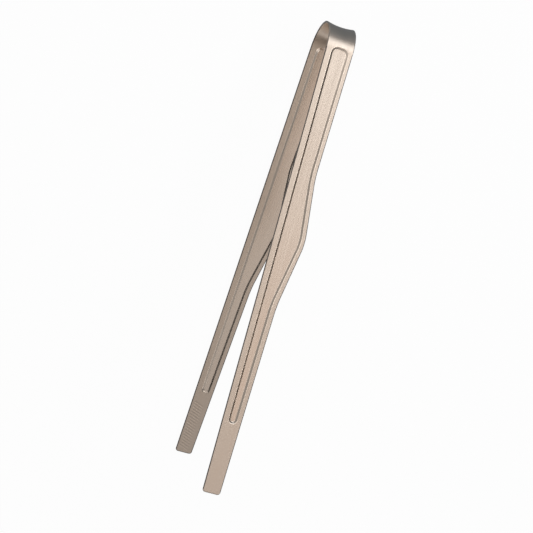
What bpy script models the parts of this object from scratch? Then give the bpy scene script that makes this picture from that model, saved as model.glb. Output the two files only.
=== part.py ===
"""Serving tongs folded from one strip of stainless steel.

The strip is bent round a bow and runs out into two arms. Each arm is stiffened by a long
panel pressed inwards, bulges on one side so that the tips stay off the table, and ends in
a flat jaw with slanted teeth on its inner face. The strip is split where it flexes: at both
ends of the bow, and where the panel of each arm stops.

The tongs lie on the outer face of the rear arm. Places on the strip are given as a distance
along it from the crown of the bow, a distance across it, and an inset from its outer face.
"""

from math import cos, pi, radians, sin, tan

import bmesh
import bpy
from mathutils import Matrix, Vector

# The strip and its fold (metres)
OVERALL_LENGTH = 0.240
BOW_RADIUS = 0.015
ARM_ANGLE = radians(6.0)
THICKNESS = 0.0010
BOW_WIDTH = 0.0150
TIP_WIDTH = 0.0092
TIP_CORNER = 0.0015

# The bulge on one edge, placed as shares of the strip from the crown to the tip
BULGE_FROM = 0.346
BULGE_PEAK = 0.477
BULGE_TO = 0.612
BULGE_HEIGHT = 0.0047
BULGE_BLEND = 0.0042

# The pressed panel
RIM = 0.0033
PANEL_DEPTH = 0.0009
PANEL_WALL = 0.0008
PANEL_CORNER = 0.0022
PANEL_SETBACK = 0.0007

# The jaw and its teeth
JAW_LENGTH = 0.0330
PANEL_TO_JAW = 0.0022
TOOTH_PITCH = 0.0015
TOOTH_WIDTH = 0.0009
TOOTH_DEPTH = 0.00025
TOOTH_SLANT = radians(20.0)
TEETH_LENGTH = 0.0270
TEETH_TO_TIP = 0.0022

# Where the strip flexes
BOW_TO_ARM = 0.0020
FLEX_GAP = 0.0003

# Mesh steps
BOW_STEPS = 48
ARM_STEPS = 96
CORNER_STEPS = 6
PANEL_END_STEPS = 9

FRONT = 1
REAR = -1

ARC_LENGTH = BOW_RADIUS * (pi / 2 - ARM_ANGLE)
ARM_RUN = (OVERALL_LENGTH - BOW_RADIUS * (1 - sin(ARM_ANGLE))) / cos(ARM_ANGLE)
STRIP_END = ARC_LENGTH + ARM_RUN
ARM_START = ARC_LENGTH - BOW_TO_ARM
JAW_START = STRIP_END - JAW_LENGTH
PANEL_TOP = ARC_LENGTH + PANEL_SETBACK
PANEL_BOTTOM = JAW_START - PANEL_TO_JAW


def remove_scene_objects():
    for obj in list(bpy.data.objects):
        bpy.data.objects.remove(obj, do_unlink=True)


def rounded_ramp(distance, blend):
    """A ramp that starts to climb at 0, rounded over blend on either side."""
    if distance <= -blend:
        return 0.0
    if distance >= blend:
        return distance
    return (distance + blend) ** 2 / (4 * blend)


def half_width(along):
    """Half the width of the plain tapered strip."""
    share = along / STRIP_END
    return (BOW_WIDTH + (TIP_WIDTH - BOW_WIDTH) * share) / 2


def straight_edge(along):
    return -half_width(along)


def bulged_edge(along):
    start = BULGE_FROM * STRIP_END
    peak = BULGE_PEAK * STRIP_END
    end = BULGE_TO * STRIP_END
    climb = BULGE_HEIGHT / (peak - start)
    fall = BULGE_HEIGHT / (end - peak)
    bulge = climb * rounded_ramp(along - start, BULGE_BLEND)
    bulge -= (climb + fall) * rounded_ramp(along - peak, BULGE_BLEND)
    bulge += fall * rounded_ramp(along - end, BULGE_BLEND)
    return half_width(along) + bulge


def steps_between(first, last, count):
    return [first + (last - first) * i / count for i in range(count + 1)]


ARM_STATIONS = steps_between(ARM_START + FLEX_GAP / 2, JAW_START - FLEX_GAP / 2, ARM_STEPS)
BULGE_TOP = max(bulged_edge(along) for along in ARM_STATIONS)
LAY_FLAT = Matrix.Rotation(-ARM_ANGLE, 4, "Y")
CENTRE = Vector(((ARM_RUN - BOW_RADIUS) / 2, (BULGE_TOP - BOW_WIDTH / 2) / 2, 0.0))
REAR_BOW_END = LAY_FLAT @ Vector(
    (BOW_RADIUS * (1 - sin(ARM_ANGLE)), 0.0, -BOW_RADIUS * cos(ARM_ANGLE))
)


def strip_point(side, along, across, inset):
    """The point of the folded strip, with the tongs lying on their rear arm."""
    if along < ARC_LENGTH:
        turn = along / BOW_RADIUS
        radius = BOW_RADIUS - inset
        out = BOW_RADIUS - radius * cos(turn)
        rise = radius * sin(turn)
    else:
        run = along - ARC_LENGTH
        out = BOW_RADIUS * (1 - sin(ARM_ANGLE)) + run * cos(ARM_ANGLE) + inset * sin(ARM_ANGLE)
        rise = BOW_RADIUS * cos(ARM_ANGLE) + run * sin(ARM_ANGLE) - inset * cos(ARM_ANGLE)
    return LAY_FLAT @ Vector((out, across, side * rise)) - REAR_BOW_END - CENTRE


def flex_point(side, along):
    """The middle of the strip where it flexes, on the joint's axis."""
    return strip_point(side, along, 0.0, THICKNESS / 2)


def steel(name, colour, roughness):
    material = bpy.data.materials.new(name)
    material.use_nodes = True
    shader = material.node_tree.nodes["Principled BSDF"]
    shader.inputs["Base Color"].default_value = (*colour, 1.0)
    shader.inputs["Metallic"].default_value = 1.0
    shader.inputs["Roughness"].default_value = roughness
    return material


def finish_node(name, bm, origin, material):
    """A named object with its origin on the joint's axis."""
    bmesh.ops.recalc_face_normals(bm, faces=bm.faces)
    bmesh.ops.translate(bm, verts=bm.verts, vec=-origin)
    mesh = bpy.data.meshes.new(name)
    bm.to_mesh(mesh)
    bm.free()
    mesh.materials.append(material)
    obj = bpy.data.objects.new(name, mesh)
    obj.location = origin
    bpy.context.scene.collection.objects.link(obj)
    return obj


def hang_on(child, parent):
    """Parents child without moving it."""
    bpy.context.view_layer.update()
    child.parent = parent
    child.matrix_parent_inverse = parent.matrix_world.inverted()


def loop_verts(bm, side, outline, inset):
    return [bm.verts.new(strip_point(side, along, across, inset)) for along, across in outline]


def join_loops(bm, one, other):
    """A closed ring of faces between two loops with the same number of points."""
    count = len(one)
    for i in range(count):
        following = (i + 1) % count
        bm.faces.new((one[i], one[following], other[following], other[i]))


def fill_lengthwise(bm, loop):
    """Fills a panel's loop: rungs between its long sides, and one face at each end."""
    rungs = ARM_STEPS + 1
    left = loop[:rungs]
    bottom = loop[rungs : rungs + PANEL_END_STEPS]
    right = loop[rungs + PANEL_END_STEPS : 2 * rungs + PANEL_END_STEPS][::-1]
    top = loop[2 * rungs + PANEL_END_STEPS :]
    for i in range(ARM_STEPS):
        bm.faces.new((left[i], left[i + 1], right[i + 1], right[i]))
    bm.faces.new((left[-1], *bottom, right[-1]))
    bm.faces.new((right[0], *top, left[0]))


def arm_outline():
    """The arm's outline: straight edge, jaw end, bulged edge, bow end."""
    first = ARM_STATIONS[0]
    last = ARM_STATIONS[-1]
    left = [(along, straight_edge(along)) for along in ARM_STATIONS]
    right = [(along, bulged_edge(along)) for along in reversed(ARM_STATIONS)]
    jaw_end = steps_between(straight_edge(last), bulged_edge(last), PANEL_END_STEPS + 1)
    bow_end = steps_between(bulged_edge(first), straight_edge(first), 2 * CORNER_STEPS + 1)
    bottom = [(last, across) for across in jaw_end[1:-1]]
    top = [(first, across) for across in bow_end[1:-1]]
    return left + bottom + right + top


def panel_outline(shrink):
    """The panel's border, in the arm outline's order, drawn in by shrink from the rim."""
    margin = RIM + shrink
    top = PANEL_TOP + shrink
    bottom = PANEL_BOTTOM - shrink
    corner = PANEL_CORNER - shrink

    def border_left(along):
        return straight_edge(along) + margin

    def border_right(along):
        return bulged_edge(along) - margin

    end_radius = (border_right(bottom) - border_left(bottom)) / 2
    for _ in range(4):
        centre = bottom - end_radius
        end_radius = (border_right(centre) - border_left(centre)) / 2
    middle = (border_right(centre) + border_left(centre)) / 2

    stations = steps_between(top + corner, centre, ARM_STEPS)
    left = [(along, border_left(along)) for along in stations]
    right = [(along, border_right(along)) for along in reversed(stations)]
    round_end = []
    for angle in steps_between(0, pi, PANEL_END_STEPS + 1)[1:-1]:
        across = middle - end_radius * cos(angle)
        round_end.append((centre + end_radius * sin(angle), across))
    corners = []
    for angle in steps_between(0, pi / 2, CORNER_STEPS)[1:]:
        across = border_right(top + corner) - corner + corner * cos(angle)
        corners.append((top + corner - corner * sin(angle), across))
    for angle in steps_between(pi / 2, 0, CORNER_STEPS)[:-1]:
        across = border_left(top + corner) + corner - corner * cos(angle)
        corners.append((top + corner - corner * sin(angle), across))
    return left + round_end + right + corners


def build_arm(name, side, material):
    """An arm: its rim, the walls of the panel and the panel, on both faces of the strip."""
    outline = arm_outline()
    border = panel_outline(-PANEL_WALL / 2)
    panel = panel_outline(PANEL_WALL / 2)
    bm = bmesh.new()
    faces = []
    for inset in (0.0, THICKNESS):
        rim_loop = loop_verts(bm, side, outline, inset)
        border_loop = loop_verts(bm, side, border, inset)
        panel_loop = loop_verts(bm, side, panel, inset + PANEL_DEPTH)
        join_loops(bm, rim_loop, border_loop)
        join_loops(bm, border_loop, panel_loop)
        fill_lengthwise(bm, panel_loop)
        faces.append(rim_loop)
    join_loops(bm, *faces)
    return finish_node(name, bm, flex_point(side, ARM_START), material)


def build_bow(material):
    """The bow, from one flexing line over the crown to the other."""
    reach = ARM_START - FLEX_GAP / 2
    bm = bmesh.new()
    sections = []
    for place in steps_between(-reach, reach, BOW_STEPS):
        side = FRONT if place > 0 else REAR
        along = abs(place)
        corners = (
            (straight_edge(along), 0.0),
            (bulged_edge(along), 0.0),
            (bulged_edge(along), THICKNESS),
            (straight_edge(along), THICKNESS),
        )
        section = [bm.verts.new(strip_point(side, along, *corner)) for corner in corners]
        if sections:
            join_loops(bm, sections[-1], section)
        sections.append(section)
    bm.faces.new(sections[0])
    bm.faces.new(sections[-1])
    return finish_node("spring_bow", bm, flex_point(REAR, ARM_START), material)


def jaw_outline():
    """The jaw's outline, with its two tip corners rounded."""
    first = JAW_START + FLEX_GAP / 2
    centre = STRIP_END - TIP_CORNER
    outline = [(first, straight_edge(first))]
    for angle in steps_between(0, pi / 2, CORNER_STEPS):
        across = straight_edge(centre) + TIP_CORNER * (1 - cos(angle))
        outline.append((centre + TIP_CORNER * sin(angle), across))
    for angle in steps_between(pi / 2, 0, CORNER_STEPS):
        across = bulged_edge(centre) - TIP_CORNER * (1 - cos(angle))
        outline.append((centre + TIP_CORNER * sin(angle), across))
    outline.append((first, bulged_edge(first)))
    return outline


def build_teeth_cutter(name, side):
    """Wedges that cut the slanted grooves between the teeth."""
    bm = bmesh.new()
    last = STRIP_END - TEETH_TO_TIP
    count = int(TEETH_LENGTH / TOOTH_PITCH)
    reach = BOW_WIDTH
    clear = TOOTH_DEPTH * 0.4
    mouth = TOOTH_WIDTH / 2 * (TOOTH_DEPTH + clear) / TOOTH_DEPTH
    for i in range(count + 1):
        middle = last - i * TOOTH_PITCH
        ends = []
        for across in (-reach, reach):
            along = middle + across * tan(TOOTH_SLANT)
            profile = (
                (along, THICKNESS - TOOTH_DEPTH),
                (along + mouth, THICKNESS + clear),
                (along - mouth, THICKNESS + clear),
            )
            ends.append([bm.verts.new(strip_point(side, a, across, inset)) for a, inset in profile])
        join_loops(bm, *ends)
        bm.faces.new(ends[0])
        bm.faces.new(ends[1])
    bmesh.ops.recalc_face_normals(bm, faces=bm.faces)
    mesh = bpy.data.meshes.new(name)
    bm.to_mesh(mesh)
    bm.free()
    cutter = bpy.data.objects.new(name, mesh)
    cutter.display_type = "WIRE"
    cutter.hide_render = True
    bpy.context.scene.collection.objects.link(cutter)
    return cutter


def build_jaw(name, side, material):
    """A flat jaw with slanted teeth on its inner face."""
    outline = jaw_outline()
    bm = bmesh.new()
    outer = loop_verts(bm, side, outline, 0.0)
    inner = loop_verts(bm, side, outline, THICKNESS)
    join_loops(bm, outer, inner)
    bm.faces.new(outer)
    bm.faces.new(inner)
    jaw = finish_node(name, bm, flex_point(side, JAW_START), material)
    teeth = jaw.modifiers.new("teeth", "BOOLEAN")
    teeth.operation = "DIFFERENCE"
    teeth.solver = "EXACT"
    teeth.object = build_teeth_cutter(name + "_teeth_cutter", side)
    return jaw


remove_scene_objects()

rear_arm = build_arm("rear_arm", REAR, steel("rear_arm_steel", (0.42, 0.37, 0.32), 0.34))
spring_bow = build_bow(steel("spring_bow_steel", (0.50, 0.46, 0.42), 0.28))
front_arm = build_arm("front_arm", FRONT, steel("front_arm_steel", (0.62, 0.54, 0.46), 0.34))
rear_jaw = build_jaw("rear_jaw", REAR, steel("rear_jaw_steel", (0.40, 0.35, 0.30), 0.38))
front_jaw = build_jaw("front_jaw", FRONT, steel("front_jaw_steel", (0.54, 0.46, 0.38), 0.36))

hang_on(spring_bow, rear_arm)
hang_on(front_arm, spring_bow)
hang_on(rear_jaw, rear_arm)
hang_on(front_jaw, front_arm)
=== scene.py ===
from math import cos, pi, radians, sin, sqrt, tan

import bmesh
import bpy
from mathutils import Matrix, Vector


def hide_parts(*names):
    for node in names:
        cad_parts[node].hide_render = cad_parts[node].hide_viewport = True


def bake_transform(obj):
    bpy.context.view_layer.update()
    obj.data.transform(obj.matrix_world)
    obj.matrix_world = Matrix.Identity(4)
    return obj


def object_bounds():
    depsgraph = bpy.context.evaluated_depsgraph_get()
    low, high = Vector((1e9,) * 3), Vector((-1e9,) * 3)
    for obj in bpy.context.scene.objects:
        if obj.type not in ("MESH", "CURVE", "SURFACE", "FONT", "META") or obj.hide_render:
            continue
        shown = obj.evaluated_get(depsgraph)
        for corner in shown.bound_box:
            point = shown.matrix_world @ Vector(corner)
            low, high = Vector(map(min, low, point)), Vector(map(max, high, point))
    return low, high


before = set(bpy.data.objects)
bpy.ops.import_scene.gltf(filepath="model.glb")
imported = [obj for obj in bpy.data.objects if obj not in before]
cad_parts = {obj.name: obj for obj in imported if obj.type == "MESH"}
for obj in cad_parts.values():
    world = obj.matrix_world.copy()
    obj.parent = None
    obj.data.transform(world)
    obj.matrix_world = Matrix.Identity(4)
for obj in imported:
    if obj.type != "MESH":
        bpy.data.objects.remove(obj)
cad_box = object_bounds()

# The front arm and its half of the bow. The real thing is one strip of 1 mm stainless steel:
# cut flat with a bulge on one edge, pressed with a long stiffening panel, tumbled so that the
# cut edges are round, then rolled over a mandrel for the bow. Half of it is made that way here.
BOW_RADIUS = 0.015
ARM_ANGLE = radians(6)
OVERALL_LENGTH = 0.240
THICKNESS = 0.001
BOW_WIDTH = 0.015
TIP_WIDTH = 0.0092
TIP_CORNER = 0.0015
BULGE_SHARES = (0.346, 0.477, 0.612)
BULGE_HEIGHT = 0.0047
BULGE_BLEND = 0.0042

BOW_LENGTH = BOW_RADIUS * (pi / 2 - ARM_ANGLE)
ARM_LENGTH = (OVERALL_LENGTH - BOW_RADIUS * (1 - sin(ARM_ANGLE))) / cos(ARM_ANGLE)
HALF_LENGTH = BOW_LENGTH + ARM_LENGTH
BULGE_FROM, BULGE_PEAK, BULGE_TO = (share * HALF_LENGTH for share in BULGE_SHARES)
CROWN_SPARE = 0.004
BULGE_STEPS = 12
TIP_STEPS = 8
HAIR = 1e-6
ALIKE = 0.999


def choose(kind, wanted):
    """Selects the vertices, edges or faces of the mesh in edit mode that pass a test."""
    bpy.ops.mesh.select_mode(type=kind)
    bpy.ops.mesh.select_all(action="DESELECT")
    mesh = bmesh.from_edit_mesh(bpy.context.object.data)
    for item in {"VERT": mesh.verts, "EDGE": mesh.edges, "FACE": mesh.faces}[kind]:
        if wanted(item):
            item.select_set(True)
    mesh.select_flush_mode()
    bmesh.update_edit_mesh(bpy.context.object.data)


def cut_across(along):
    """Scores the strip straight across, at a distance from the crown of the bow."""
    bpy.ops.mesh.select_all(action="SELECT")
    bpy.ops.mesh.bisect(plane_co=(along, 0, 0), plane_no=(1, 0, 0))


def near(vert, along):
    """Whether a vertex lies at a distance along X."""
    return abs(vert.co.x - along) < HAIR


def largest_face():
    """A test that only the largest face in sight passes."""
    faces = bmesh.from_edit_mesh(bpy.context.object.data).faces
    size = max(face.calc_area() for face in faces if not face.hide)
    return lambda face: not face.hide and face.calc_area() > ALIKE * size


# The blank: a plate, narrowed to the tip, with one edge pulled out into the bulge.
bpy.ops.object.select_all(action="DESELECT")
bpy.ops.mesh.primitive_plane_add(size=1, location=(HALF_LENGTH / 2, 0, 0))
front_arm = bpy.context.object
front_arm.name = "front_arm_strip"
front_arm.scale = (HALF_LENGTH, BOW_WIDTH, 1)
bpy.ops.object.transform_apply(location=True, rotation=True, scale=True)
bpy.ops.object.mode_set(mode="EDIT")
choose("VERT", lambda v: near(v, HALF_LENGTH))
bpy.ops.transform.resize(
    value=(1, TIP_WIDTH / BOW_WIDTH, 1), center_override=(HALF_LENGTH, 0, 0)
)
choose("EDGE", lambda e: all(near(v, 0) for v in e.verts))
bpy.ops.mesh.extrude_region_move(TRANSFORM_OT_translate={"value": (-CROWN_SPARE, 0, 0)})
for along in (BULGE_FROM, BULGE_PEAK, BULGE_TO):
    cut_across(along)
choose("VERT", lambda v: near(v, BULGE_PEAK) and v.co.y > 0)
bpy.ops.transform.translate(value=(0, BULGE_HEIGHT, 0))
choose("EDGE", lambda e: not e.is_boundary)
bpy.ops.mesh.dissolve_edges(use_verts=False)
choose(
    "VERT",
    lambda v: v.co.y > 0 and any(near(v, x) for x in (BULGE_FROM, BULGE_PEAK, BULGE_TO)),
)
bpy.ops.mesh.bevel(offset=BULGE_BLEND, segments=BULGE_STEPS, affect="VERTICES")
choose("VERT", lambda v: near(v, HALF_LENGTH))
bpy.ops.mesh.bevel(offset=TIP_CORNER, segments=TIP_STEPS, affect="VERTICES")

# The panel's outline: a copy of the arm's face, set in from the edges by the rim's width, with
# round corners by the bow and one full round by the jaw. It starts just inside the bow, stops
# just short of the jaw, and is drawn in a little past the bulge.
JAW_LENGTH = 0.033
RIM = 0.00245
PANEL_OVER_BOW = 0.0016
PANEL_OFF_JAW = 0.0023
PANEL_TOP = BOW_LENGTH - PANEL_OVER_BOW
PANEL_BOTTOM = HALF_LENGTH - JAW_LENGTH - PANEL_OFF_JAW
PANEL_CORNER = 0.0035
PANEL_SHIFT = 0.00055
PANEL_DRAWN_IN = 0.0004
PAST_BULGE = BULGE_PEAK + 1.5 * BULGE_BLEND
CORNER_STEPS = 12
END_STEPS = 14
END_MERGE = 0.0001
EDGE_BAND = 0.0006

arm_from = PANEL_TOP - RIM + EDGE_BAND
arm_to = PANEL_BOTTOM + RIM - EDGE_BAND
choose("FACE", lambda f: True)
bpy.ops.mesh.inset(thickness=EDGE_BAND, depth=0)
cut_across(arm_from)
cut_across(arm_to)
choose("FACE", largest_face())
bpy.ops.mesh.mark_seam(clear=False)
bpy.ops.mesh.duplicate()
bpy.ops.mesh.hide(unselected=True)
bpy.ops.mesh.inset(thickness=RIM - EDGE_BAND, depth=0)
bpy.ops.mesh.select_all(action="INVERT")
bpy.ops.mesh.delete(type="FACE")
choose("VERT", lambda v: not v.hide)
bpy.ops.transform.translate(value=(0, PANEL_SHIFT, 0))
choose("VERT", lambda v: not v.hide and v.co.y > 0 and v.co.x > PAST_BULGE)
bpy.ops.transform.translate(value=(0, -PANEL_DRAWN_IN, 0))
choose("VERT", lambda v: near(v, PANEL_TOP))
bpy.ops.mesh.bevel(offset=PANEL_CORNER, segments=CORNER_STEPS, affect="VERTICES")
panel_mesh = bmesh.from_edit_mesh(front_arm.data)
end_places = [v.co.y for v in panel_mesh.verts if not v.hide and near(v, PANEL_BOTTOM)]
end_width = max(end_places) - min(end_places)
choose("VERT", lambda v: near(v, PANEL_BOTTOM))
bpy.ops.mesh.bevel(offset=end_width / 2, segments=END_STEPS, affect="VERTICES")
choose("VERT", lambda v: not v.hide)
bpy.ops.mesh.remove_doubles(threshold=END_MERGE)
choose("FACE", lambda f: not f.hide)
bpy.ops.mesh.mark_seam(clear=False)
bpy.ops.mesh.reveal(select=False)
choose("FACE", largest_face())
bpy.ops.mesh.delete(type="ONLY_FACE")
choose("EDGE", lambda e: e.seam)
bpy.ops.mesh.fill()

# The panel is pressed in. The sheet bends over the die's edge, slopes down evenly and ends in a
# tight corner at the punch. The panel has a finish of its own, so the slots for the three
# finishes are made first, and their materials are put in further down.
PANEL_DEPTH = 0.0007
PUNCH_RADIUS = 0.0003
DIE_RADIUS = 0.0006
WALL_ANGLE = radians(32.5)
DIE_RUN = DIE_RADIUS * sin(WALL_ANGLE)
PUNCH_RUN = PUNCH_RADIUS * sin(WALL_ANGLE)
SLOPE_DROP = PANEL_DEPTH - (PUNCH_RADIUS + DIE_RADIUS) * (1 - cos(WALL_ANGLE))
SLOPE_RUN = SLOPE_DROP / tan(WALL_ANGLE)
WALL_RUN = DIE_RUN + SLOPE_RUN + PUNCH_RUN
BEND_STEPS = 5
SLOPE_STEPS = 4
WALL_STEPS = (
    [DIE_RUN * step / BEND_STEPS for step in range(BEND_STEPS)]
    + [DIE_RUN + SLOPE_RUN * step / SLOPE_STEPS for step in range(SLOPE_STEPS)]
    + [WALL_RUN - PUNCH_RUN * (1 - step / BEND_STEPS) for step in range(BEND_STEPS + 1)]
)
GROUND, PRESSED, SHEARED_SHADE = 0, 1, 2


def wall_drop(run):
    """How far the outer face has dropped at a distance in from the panel's outline."""
    if run <= DIE_RUN:
        return DIE_RADIUS - sqrt(DIE_RADIUS**2 - run**2)
    left = WALL_RUN - run
    if left <= PUNCH_RUN:
        return PANEL_DEPTH - PUNCH_RADIUS + sqrt(max(PUNCH_RADIUS**2 - left**2, 0))
    return DIE_RADIUS * (1 - cos(WALL_ANGLE)) + (run - DIE_RUN) * tan(WALL_ANGLE)


for finish in (GROUND, PRESSED, SHEARED_SHADE):
    front_arm.data.materials.append(None)
choose("FACE", largest_face())
front_arm.active_material_index = PRESSED
bpy.ops.object.material_slot_assign()
for before, after in zip(WALL_STEPS, WALL_STEPS[1:]):
    bpy.ops.mesh.inset(thickness=after - before, depth=wall_drop(before) - wall_drop(after))

# The pressing runs in from the bow: three quarters of the depth where the panel begins, and the
# full depth a little further along.
PRESS_RUN_IN = 0.015
SHALLOWEST = 0.72
pressing = bmesh.from_edit_mesh(front_arm.data)
for vert in pressing.verts:
    short = max(1 - (vert.co.x - PANEL_TOP) / PRESS_RUN_IN, 0)
    vert.co.z *= 1 - (1 - SHALLOWEST) * min(short, 1) ** 2
bmesh.update_edit_mesh(front_arm.data)

# The sheet's thickness, and the tumbled edge. The spare end past the crown is cut off square,
# because the other half of the strip goes on from there.
EDGE_ROUND = 0.00045
EDGE_STEPS = 4
CUT_CORNER = radians(75)

bpy.ops.mesh.select_all(action="SELECT")
bpy.ops.mesh.extrude_region_move(TRANSFORM_OT_translate={"value": (0, 0, -THICKNESS)})
bpy.ops.mesh.select_all(action="SELECT")
bpy.ops.mesh.normals_make_consistent(inside=False)
choose("EDGE", lambda e: len(e.link_faces) == 2 and e.calc_face_angle() > CUT_CORNER)
bpy.ops.mesh.bevel(offset=EDGE_ROUND, segments=EDGE_STEPS, affect="EDGES")
bpy.ops.mesh.select_all(action="SELECT")
bpy.ops.mesh.bisect(
    plane_co=(0, 0, 0), plane_no=(1, 0, 0), use_fill=True, clear_inner=True
)

# Score lines where the strip bends, close over the bow and wider where the jaw gives, and
# across the straight arm, so that no face is a long sliver. The first is close to the crown,
# so that the shading of the strip's two halves meets there.
CROWN_SCORE = 0.00005
BOW_SCORES = 60
BOW_RIBS = 14
JAW_SHORT = 0.0012
JAW_FROM = HALF_LENGTH - JAW_LENGTH + JAW_SHORT
JAW_BEND = 0.012
JAW_SCORES = 12
ARM_SCORES = 60

for rib in range(1, BOW_RIBS):
    choose("FACE", lambda f: all(v.co.x < arm_from + HAIR for v in f.verts))
    bpy.ops.mesh.bisect(
        plane_co=(0, BOW_WIDTH * (rib / BOW_RIBS - 0.5), 0), plane_no=(0, 1, 0)
    )
cut_across(CROWN_SCORE)
for step in range(1, BOW_SCORES + 1):
    cut_across(BOW_LENGTH * step / BOW_SCORES)
for step in range(1, JAW_SCORES + 1):
    cut_across(JAW_FROM + JAW_BEND * step / JAW_SCORES)
for step in range(1, ARM_SCORES):
    cut_across(arm_from + (JAW_FROM - arm_from) * step / ARM_SCORES)

# The cut edge is dull all round, and painted dark all round as shade. Over the bow and at the
# tip the outer corner keeps the ground finish, so that a bright line shows there.
EDGE_TURN = cos(radians(10))
LIGHT_LINE_TURN = cos(radians(45))


def is_shaded_edge(face):
    """A face of the cut edge that gets the painted shade, not an outer corner left bright."""
    along = face.calc_center_median().x
    keeps_light_line = along < BOW_LENGTH or along > HALF_LENGTH - TIP_CORNER
    return face.material_index == GROUND and abs(face.normal.z) < (
        LIGHT_LINE_TURN if keeps_light_line and face.normal.z > 0 else EDGE_TURN
    )


choose("FACE", is_shaded_edge)
front_arm.active_material_index = SHEARED_SHADE
bpy.ops.object.material_slot_assign()

# A strip that is rolled this tightly turns up at its edges, so the bow is a little hollow
# across its middle.
SADDLE = 0.0009
hollow = bmesh.from_edit_mesh(front_arm.data)
for vert in hollow.verts:
    if vert.co.x < arm_from:
        share = cos(pi / 2 * max(vert.co.x, 0) / arm_from) ** 2
        vert.co.z -= SADDLE * share * max(1 - (2 * vert.co.y / BOW_WIDTH) ** 2, 0)
bmesh.update_edit_mesh(front_arm.data)
bpy.ops.object.mode_set(mode="OBJECT")

# The brushing follows the blank, so its map is laid while the strip is flat: metres along and
# across.
blank_map = front_arm.data.uv_layers.active
blank_map.name = "blank"
for loop in front_arm.data.loops:
    flat = front_arm.data.vertices[loop.vertex_index].co
    blank_map.data[loop.index].uv = (flat.x, flat.y)

# Rolled over the mandrel with the strip standing on its edge, then laid in the frame: the bow's
# axis is its radius in from the frame's end, and the rear arm lies on the floor.
front_arm.rotation_euler = (pi / 2, 0, 0)
bpy.ops.object.transform_apply(location=True, rotation=True, scale=True)
roll = front_arm.modifiers.new("bow", "SIMPLE_DEFORM")
roll.deform_method = "BEND"
roll.deform_axis = "Z"
roll.angle = pi / 2 - ARM_ANGLE
roll.limits = (0, BOW_LENGTH / HALF_LENGTH)
bpy.ops.object.modifier_apply(modifier="bow")

bow_axis = Vector(
    (cad_box[0][0] + BOW_RADIUS, cad_box[0][1] + BOW_WIDTH / 2, BOW_RADIUS)
)
tilt = Matrix.Translation(bow_axis) @ Matrix.Rotation(-ARM_ANGLE, 4, "Y")
out_across_rise = Matrix(((0, 1, 0, -BOW_RADIUS), (0, 0, 1, 0), (1, 0, 0, 0), (0, 0, 0, 1)))
front_arm.matrix_world = tilt @ out_across_rise
bpy.ops.object.transform_apply(location=True, rotation=True, scale=True)


def on_strip(side, along, across=0):
    """The outer face's point at a distance from the crown; side is 1 in front, -1 at the rear."""
    turn = min(along / BOW_RADIUS, pi / 2 - ARM_ANGLE)
    run = max(along - BOW_LENGTH, 0)
    out = -BOW_RADIUS * cos(turn) + run * cos(ARM_ANGLE)
    rise = BOW_RADIUS * sin(turn) + run * sin(ARM_ANGLE)
    return tilt @ Vector((out, across, side * rise))


def pick(piece):
    """Makes a piece the only one selected."""
    bpy.ops.object.select_all(action="DESELECT")
    bpy.context.view_layer.objects.active = piece
    piece.select_set(True)


# The jaw comes off the strip here, in the flat part, because it gives on its own.
def part_strip(piece, side, keep):
    """Keeps the arm or the jaw of a half strip and closes the cut."""
    here = on_strip(side, JAW_FROM)
    pick(piece)
    bpy.ops.object.mode_set(mode="EDIT")
    bpy.ops.mesh.select_all(action="SELECT")
    bpy.ops.mesh.bisect(
        plane_co=here,
        plane_no=(on_strip(side, HALF_LENGTH) - here).normalized(),
        use_fill=True,
        clear_outer=keep == "arm",
        clear_inner=keep == "jaw",
    )
    bpy.ops.object.mode_set(mode="OBJECT")


bpy.ops.object.duplicate()
front_jaw = bpy.context.object
front_jaw.name = "front_jaw_tip"
part_strip(front_arm, 1, "arm")


def linear(colour):
    """An sRGB hex colour as linear RGBA."""
    parts = [int(colour[i : i + 2], 16) / 255 for i in (1, 3, 5)]
    return [p / 12.92 if p <= 0.04045 else ((p + 0.055) / 1.055) ** 2.4 for p in parts] + [1]


def node(tree, kind, links=None, **settings):
    """Adds a node, sets its properties and inputs by name, and links its inputs."""
    new = tree.nodes.new(kind)
    for name, value in settings.items():
        if hasattr(new, name):
            setattr(new, name, value)
        else:
            new.inputs[name.replace("_", " ")].default_value = value
    for name, source in (links or {}).items():
        tree.links.new(source, new.inputs[name])
    return new


def steel(name, colour, spacing, run, roughness, relief):
    """Stainless steel with drawn-out lines of a spacing and a length, in metres."""
    made = bpy.data.materials.new(name)
    made.use_nodes = True
    tree = made.node_tree
    tree.nodes.clear()
    blank = node(tree, "ShaderNodeUVMap", uv_map="blank")
    drawn = node(
        tree,
        "ShaderNodeMapping",
        {"Vector": blank.outputs["UV"]},
        Scale=(1 / run, 1 / spacing, 1),
    )
    lines = node(
        tree,
        "ShaderNodeTexNoise",
        {"Vector": drawn.outputs["Vector"]},
        noise_dimensions="2D",
        Scale=1.0,
        Detail=1.0,
        Roughness=0.6,
    )
    rough = node(
        tree,
        "ShaderNodeMapRange",
        {"Value": lines.outputs["Fac"]},
        From_Min=0.3,
        From_Max=0.7,
        To_Min=roughness[0],
        To_Max=roughness[1],
    )
    fine = node(
        tree,
        "ShaderNodeBump",
        {"Height": lines.outputs["Fac"]},
        Strength=relief,
        Distance=0.0001,
    )
    shader = node(
        tree,
        "ShaderNodeBsdfPrincipled",
        {"Roughness": rough.outputs["Result"], "Normal": fine.outputs["Normal"]},
        Base_Color=linear(colour),
        Metallic=1.0,
    )
    node(tree, "ShaderNodeOutputMaterial", {"Surface": shader.outputs["BSDF"]})
    return made


# Stainless strip, 18/8, belt-ground along its length and tumbled to a satin: a warm grey whose
# reflections are soft and drawn out by very fine lines. Belt lines are about 0.05 mm apart,
# finer than the render can show, so they are drawn at 0.6 mm.
LINE_SPACING = 0.0006
LINE_RUN = 0.050
ground = steel(
    "ground_stainless",
    "#D0C0B1",
    spacing=LINE_SPACING,
    run=LINE_RUN,
    roughness=(0.36, 0.44),
    relief=0.04,
)
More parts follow.
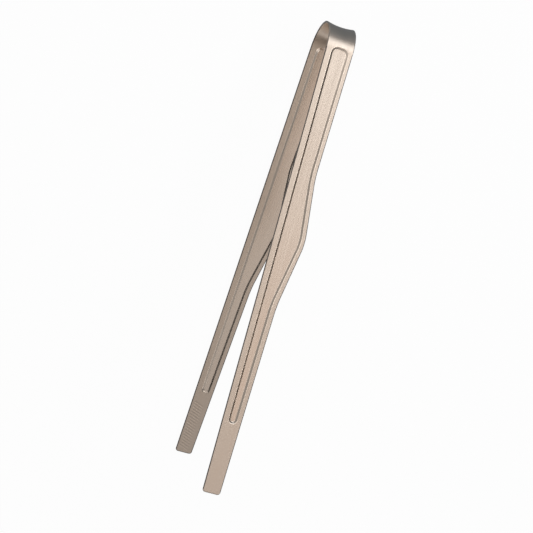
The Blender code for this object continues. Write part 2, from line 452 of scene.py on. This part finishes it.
# The panel's floor is burnished by the press tool, so it is smoother and reflects more sharply.
# Its lighter colour is painted sheen.
pressed_and_sheen = steel(
    "pressed_stainless_painted_sheen",
    "#DDCDBE",
    spacing=LINE_SPACING,
    run=LINE_RUN,
    roughness=(0.25, 0.32),
    relief=0.03,
)
# The cut edge is never ground: it keeps the dull skin that shearing and tumbling leave. Its
# dark, greyer colour is painted shade for the dark lines along the edges.
sheared_with_shade = steel(
    "sheared_stainless_painted_shade",
    "#6A645F",
    spacing=0.0008,
    run=0.0010,
    roughness=(0.40, 0.52),
    relief=0.15,
)
for strip in (front_arm, front_jaw):
    strip.data.materials[GROUND] = ground
    strip.data.materials[PRESSED] = pressed_and_sheen
    strip.data.materials[SHEARED_SHADE] = sheared_with_shade

SAME_POINT = 1e-7
SMOOTH_ANGLE = radians(25)


def finish_steel(piece, nodes):
    """Closes the shape, gives it even shading and hides the model's parts that it stands in for.
    """
    pick(piece)
    bpy.ops.object.mode_set(mode="EDIT")
    bpy.ops.mesh.select_all(action="SELECT")
    bpy.ops.mesh.remove_doubles(threshold=SAME_POINT)
    bpy.ops.mesh.normals_make_consistent(inside=False)
    bpy.ops.object.mode_set(mode="OBJECT")
    bpy.ops.object.shade_smooth_by_angle(angle=SMOOTH_ANGLE)
    even = piece.modifiers.new("even", "WEIGHTED_NORMAL")
    even.keep_sharp = True
    bpy.ops.object.modifier_apply(modifier="even")
    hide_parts(*nodes)


finish_steel(front_arm, ["front_arm", "spring_bow"])
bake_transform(front_arm)

# The front jaw: the flat end of the same strip. Shallow slanted teeth are rolled across its
# inner face, so that it grips what the tongs pick up.
TOOTH_PITCH = 0.0015
TOOTH_WIDTH = 0.0010
TOOTH_DEPTH = 0.00008
TOOTH_SLANT = radians(20)
TOOTH_LENGTH = 0.0050
TOOTH_SHIFT = -0.0007
TOOTH_FADE = 0.0014
TEETH_LENGTH = 0.027
TEETH_TO_TIP = 0.0022
CUTTER_HEIGHT = 1.4 * TOOTH_DEPTH
ENDWAYS = 0.9

part_strip(front_jaw, 1, "jaw")
bpy.ops.object.select_all(action="DESELECT")
teeth_count = int(TEETH_LENGTH / TOOTH_PITCH)
# The cutter is a bar with three equal sides, whose height is 1.5 times its radius. It stands a
# little proud of the jaw, runs out to a point at both ends, and is widened to a tooth's width.
tooth_radius = CUTTER_HEIGHT / 1.5
bpy.ops.mesh.primitive_cylinder_add(
    vertices=3, radius=tooth_radius, depth=TOOTH_LENGTH, rotation=(pi / 2, 0, 0)
)
groove = bpy.context.object
groove.data.uv_layers.active.name = "blank"
bpy.ops.object.transform_apply(location=True, rotation=True, scale=True)
bpy.ops.object.mode_set(mode="EDIT")
for end in (1, -1):
    choose("FACE", lambda f: f.normal.y * end > ENDWAYS)
    bpy.ops.mesh.extrude_region_move(
        TRANSFORM_OT_translate={"value": (0, end * TOOTH_FADE, 0)}
    )
    bpy.ops.mesh.merge(type="CENTER")
    choose("VERT", lambda v: v.co.y * end > TOOTH_LENGTH / 2 + HAIR)
    bpy.ops.transform.translate(value=(0, 0, -tooth_radius / 2))
bpy.ops.object.mode_set(mode="OBJECT")
widen = (TOOTH_WIDTH / 2 / TOOTH_DEPTH) / tan(pi / 6)
groove.scale = (widen, 1, 1)
bpy.ops.object.transform_apply(location=True, rotation=True, scale=True)
groove.rotation_euler = (0, 0, -TOOTH_SLANT)
bpy.ops.object.transform_apply(location=True, rotation=True, scale=True)
row = groove.modifiers.new("row", "ARRAY")
row.count = teeth_count
row.use_relative_offset = False
row.use_constant_offset = True
row.constant_offset_displace = (TOOTH_PITCH, 0, 0)
bpy.ops.object.modifier_apply(modifier="row")
along_front = (on_strip(1, HALF_LENGTH) - on_strip(1, BOW_LENGTH)).normalized()
outward = along_front.cross(Vector((0, 1, 0)))
first = HALF_LENGTH - TEETH_TO_TIP - (teeth_count - 0.5) * TOOTH_PITCH
jaw_end = on_strip(1, HALF_LENGTH)
inner_level = min((v.co - jaw_end).dot(outward) for v in front_jaw.data.vertices)
spot = on_strip(1, first, TOOTH_SHIFT) + outward * (inner_level + TOOTH_DEPTH - tooth_radius)
groove.matrix_world = Matrix.Translation(spot) @ Matrix(
    (
        (along_front.x, 0, outward.x),
        (along_front.y, 1, outward.y),
        (along_front.z, 0, outward.z),
    )
).to_4x4()
bpy.ops.object.transform_apply(location=True, rotation=True, scale=True)
bpy.context.view_layer.objects.active = front_jaw
rolled = front_jaw.modifiers.new("teeth", "BOOLEAN")
rolled.operation = "DIFFERENCE"
rolled.solver = "EXACT"
rolled.object = groove
bpy.ops.object.modifier_apply(modifier="teeth")
bpy.data.objects.remove(groove, do_unlink=True)
tooth_reach = TOOTH_LENGTH / 2 + TOOTH_FADE
least_sunk = TOOTH_DEPTH / 5


def is_groove(face):
    """A face below the jaw's inner face, and not in its round edge."""
    away = face.calc_center_median() - jaw_end
    sunk = away.dot(outward) - inner_level
    return least_sunk < sunk < TOOTH_DEPTH and abs(away.y - TOOTH_SHIFT) < tooth_reach


bpy.ops.object.mode_set(mode="EDIT")
choose("EDGE", lambda e: sum(is_groove(f) for f in e.link_faces) == 1)
bpy.ops.mesh.mark_sharp()
bpy.ops.object.mode_set(mode="OBJECT")
jaw_map = front_jaw.data.uv_layers["blank"]
for loop in front_jaw.data.loops:
    away = front_jaw.data.vertices[loop.vertex_index].co - jaw_end
    jaw_map.data[loop.index].uv = (HALF_LENGTH + away.dot(along_front), away.y)

finish_steel(front_jaw, ["front_jaw"])
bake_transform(front_jaw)

# The rear arm and its half of the bow: the other half of the strip, a mirror of the front
# half about the plane midway between the arms. It is pressed from its own outer face.
mirror = tilt @ Matrix.Diagonal((1, 1, -1, 1)) @ tilt.inverted()


def mirrored(piece, name):
    """A copy of a front piece with a mesh of its own, on the rear side."""
    twin = bpy.data.objects.new(name, piece.data.copy())
    bpy.context.collection.objects.link(twin)
    pick(twin)
    bpy.ops.mesh.customdata_custom_splitnormals_clear()
    twin.matrix_world = mirror
    bpy.ops.object.transform_apply(location=True, rotation=True, scale=True)
    return twin


rear_arm = mirrored(front_arm, "rear_arm_strip")
finish_steel(rear_arm, ["rear_arm", "spring_bow"])
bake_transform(rear_arm)

# The rear jaw: the flat end of the rear half of the strip. Its teeth are rolled in with the
# front jaw's and face them.
rear_jaw = mirrored(front_jaw, "rear_jaw_tip")
finish_steel(rear_jaw, ["rear_jaw"])
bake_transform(rear_jaw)

# The studio: a plain white floor, a pale room, soft boxes on all sides, two cards that only
# reflections see, one of them painted shadow, and the camera where the photograph was taken
# from. The floor is 2 mm below the rear arm, so that the rear jaw doesn't sink into it when it
# gives.
FLOOR_SIZE = 6
FLOOR_DROP = 0.002
FLOOR_GLOW = 0.95

scene = bpy.context.scene
scene.view_settings.view_transform = "Standard"
bpy.ops.object.select_all(action="DESELECT")
bpy.ops.mesh.primitive_plane_add(size=FLOOR_SIZE, location=(0, 0, -FLOOR_DROP))
floor = bpy.context.object
floor.name = "studio_floor"
paper = bpy.data.materials.new("white_paper")
paper.use_nodes = True
tree = paper.node_tree
tree.nodes.clear()
path = node(tree, "ShaderNodeLightPath")
seen = node(
    tree,
    "ShaderNodeMath",
    {0: path.outputs["Is Camera Ray"], 1: path.outputs["Is Glossy Ray"]},
    operation="MAXIMUM",
)
seen = node(
    tree,
    "ShaderNodeMath",
    {0: seen.outputs["Value"], 1: path.outputs["Is Transmission Ray"]},
    operation="MAXIMUM",
)
share = node(
    tree,
    "ShaderNodeMath",
    {0: seen.outputs["Value"]},
    operation="MULTIPLY",
)
share.inputs[1].default_value = FLOOR_GLOW
matt = node(tree, "ShaderNodeBsdfDiffuse", Color=linear("#FAFAFA"))
glow = node(tree, "ShaderNodeEmission", Color=linear("#FFFFFF"), Strength=1.0)
mixed = node(
    tree,
    "ShaderNodeMixShader",
    {0: share.outputs["Value"], 1: matt.outputs["BSDF"], 2: glow.outputs["Emission"]},
)
node(tree, "ShaderNodeOutputMaterial", {"Surface": mixed.outputs["Shader"]})
floor.data.materials.append(paper)

# The room: a pale backdrop that the camera sees, dim at the horizon and lighter overhead and
# towards the bow's end, with a slightly warm patch near the top. The patch's edge and heart are
# cosines of the angle from its middle.
BACKDROP = 0.97
LEAN = radians(15)
DOME_REACH = radians(60)
HORIZON_GLOW = 0.03
OVERHEAD_GLOW = 0.76
WARM_SPOT = (-0.10, 0.27, 0.955)
WARM_EDGE = 0.975
WARM_HEART = 0.997
world = bpy.data.worlds.new("studio")
scene.world = world
world.use_nodes = True
tree = world.node_tree
tree.nodes.clear()
towards = node(tree, "ShaderNodeTexCoord")
overhead = node(
    tree,
    "ShaderNodeVectorMath",
    {0: towards.outputs["Generated"]},
    operation="DOT_PRODUCT",
)
overhead.inputs[1].default_value = (-sin(LEAN), 0, cos(LEAN))
dome = node(
    tree,
    "ShaderNodeMapRange",
    {"Value": overhead.outputs["Value"]},
    interpolation_type="SMOOTHSTEP",
    From_Min=cos(DOME_REACH),
    From_Max=1.0,
    To_Min=HORIZON_GLOW,
    To_Max=OVERHEAD_GLOW,
)
path = node(tree, "ShaderNodeLightPath")
room = node(
    tree,
    "ShaderNodeMix",
    {"Factor": path.outputs["Is Camera Ray"], "A": dome.outputs["Result"]},
    B=BACKDROP,
)
warm = node(
    tree,
    "ShaderNodeVectorMath",
    {0: towards.outputs["Generated"]},
    operation="DOT_PRODUCT",
)
warm.inputs[1].default_value = Vector(WARM_SPOT).normalized()
warmth = node(
    tree,
    "ShaderNodeMapRange",
    {"Value": warm.outputs["Value"]},
    interpolation_type="SMOOTHSTEP",
    From_Min=WARM_EDGE,
    From_Max=WARM_HEART,
)
tint = node(tree, "ShaderNodeValToRGB", {"Fac": warmth.outputs["Result"]})
tint.color_ramp.elements[0].color = linear("#FFFFFF")
tint.color_ramp.elements[1].color = linear("#FFE6D6")
sky = node(
    tree,
    "ShaderNodeBackground",
    {"Color": tint.outputs["Color"], "Strength": room.outputs["Result"]},
)
node(tree, "ShaderNodeOutputWorld", {"Surface": sky.outputs["Background"]})


def soft_box(name, place, aim, width, height, glow, colour="#FFFFFF"):
    """A rectangular soft light at a place, turned to a point, with a face of a set glow."""
    lamp = bpy.data.lights.new(name, "AREA")
    lamp.color = linear(colour)[:3]
    lamp.shape = "RECTANGLE"
    lamp.size = width
    lamp.size_y = height
    lamp.energy = glow * pi * width * height
    box = bpy.data.objects.new(name, lamp)
    box.location = place
    box.rotation_euler = (Vector(aim) - Vector(place)).to_track_quat("-Z", "Y").to_euler()
    box.visible_camera = False
    scene.collection.objects.link(box)


# The key stands beyond the bow and gives it the bright stripe under its dark band. The near and
# far boxes light the arms' outer faces. The low, corner and tip boxes draw the fine bright lines
# on the rims and the cut edges.
soft_box(
    "key_box",
    place=(-0.728, 0.225, 0.664),
    aim=(-0.058, -0.015, 0.074),
    width=0.9,
    height=0.36,
    glow=2.3,
    colour="#EFF7FF",
)
soft_box(
    "near_box",
    place=(-0.45, -0.30, 1.00),
    aim=(-0.05, 0, 0.03),
    width=0.5,
    height=0.5,
    glow=1.7,
)
soft_box(
    "low_box",
    place=(0.05, -1.00, 0.50),
    aim=(0, 0, 0.03),
    width=1.4,
    height=0.7,
    glow=0.20,
)
soft_box(
    "corner_box",
    place=(0.35, -0.55, 0.75),
    aim=(-0.1, 0, 0.05),
    width=0.35,
    height=0.35,
    glow=0.8,
)
soft_box(
    "far_box",
    place=(-0.32, 0.66, 0.88),
    aim=(-0.05, 0, 0.03),
    width=0.8,
    height=0.25,
    glow=2.4,
)
soft_box(
    "tip_box",
    place=(1.00, 0.10, 0.32),
    aim=(0, 0, 0.03),
    width=1.6,
    height=0.35,
    glow=1.2,
)

# The bow's dark band is the reflection of a grey card that stands round its end. The shade
# inside the bow is painted shadow: a dark card on the floor beside it, which stands for the
# tongs' own shadow there, since the glowing floor doesn't show that shadow in reflections.
CARD_LEVEL = 0.0002
BOW_CARD_END = -0.140
BOW_CARD_HEIGHT = 0.034


def shade_card(name, shade, first, last):
    """A flat card just above the floor between two corners, which only reflections see."""
    bpy.ops.object.select_all(action="DESELECT")
    middle = [(a + b) / 2 for a, b in zip(first, last)]
    bpy.ops.mesh.primitive_plane_add(size=1, location=(*middle, CARD_LEVEL))
    card = bpy.context.object
    card.name = name
    card.scale = (last[0] - first[0], last[1] - first[1], 1)
    bpy.ops.object.transform_apply(location=True, rotation=True, scale=True)
    card.visible_camera = False
    card.visible_diffuse = False
    card.visible_shadow = False
    paint = bpy.data.materials.new(name)
    paint.use_nodes = True
    tree = paint.node_tree
    tree.nodes.clear()
    flat = node(tree, "ShaderNodeEmission", Color=linear(shade), Strength=1.0)
    node(tree, "ShaderNodeOutputMaterial", {"Surface": flat.outputs["Emission"]})
    card.data.materials.append(paint)


# Painted shadow: a dark card on the floor beside the bow, where the tongs' shadow lies.
shade_card("painted_shadow_card", "#2A2622", first=(-0.115, 0.015), last=(0.025, 0.095))
shade_card("studio_bow_card", "#747E87", first=(BOW_CARD_END, -0.018), last=(-0.119, 0.10))
bpy.ops.object.mode_set(mode="EDIT")
choose("EDGE", lambda e: all(near(v, BOW_CARD_END) for v in e.verts))
bpy.ops.mesh.extrude_region_move(
    TRANSFORM_OT_translate={"value": (0, 0, BOW_CARD_HEIGHT)}
)
bpy.ops.object.mode_set(mode="OBJECT")

# The camera, worked out from the edges of the tongs in the photograph.
LENS_PIXELS = 1400
IMAGE_PIXELS = 533
EYE = Vector((-0.10905, -0.18881, 0.70856))
AIM = Vector((0.00613, 0.00120, 0.02500))
ROLL = radians(139.39)
camera = bpy.data.cameras.new("camera")
camera.lens = camera.sensor_width * LENS_PIXELS / IMAGE_PIXELS
view = bpy.data.objects.new("camera", camera)
turn = (AIM - EYE).to_track_quat("-Z", "Y").to_matrix().to_4x4()
view.matrix_world = Matrix.Translation(EYE) @ turn @ Matrix.Rotation(ROLL, 4, "Z")
scene.collection.objects.link(view)
scene.camera = view
